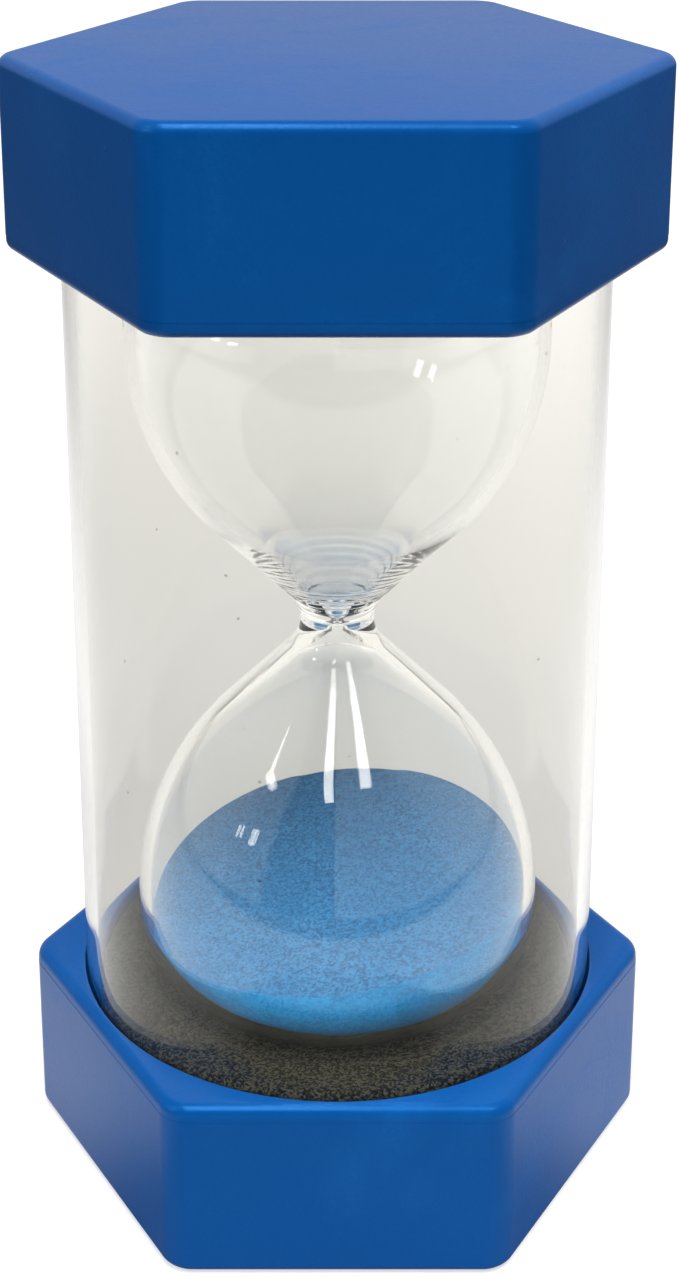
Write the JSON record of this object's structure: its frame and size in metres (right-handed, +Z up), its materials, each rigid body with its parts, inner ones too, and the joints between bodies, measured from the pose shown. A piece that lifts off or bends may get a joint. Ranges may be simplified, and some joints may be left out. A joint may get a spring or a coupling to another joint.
{
  "type": "sand timer",
  "caption": "Sand timer: a blown hourglass of blue sand held between foam pads in a clear tube, with a hexagonal plastic cap at each end to stand on.",
  "frame": {"origin": "middle of the flat face that the timer stands on", "axes": "+Z up along the axis of tube and glass; +X and -X through corners of the hexagonal caps, -Y towards the viewer of the picture, through a flat side of the caps"},
  "size_m": [0.0886, 0.0778, 0.16],
  "materials": {
    "cap_plastic": "blue moulded ABS, semi-gloss",
    "dark_foam": "charcoal open-cell foam",
    "clear_acrylic": "clear extruded tube",
    "clear_glass": "clear blown glass",
    "blue_sand": "fine dyed sand"
  },
  "bodies": {
    "root": {"base_shell": "cap_plastic", "base_collar": "cap_plastic", "base_foam_pad": "dark_foam", "clear_tube": "clear_acrylic", "hourglass": "clear_glass", "sand": "blue_sand", "top_foam_pad": "dark_foam", "top_collar": "cap_plastic", "top_shell": "cap_plastic"}
  },
  "joints": []
}
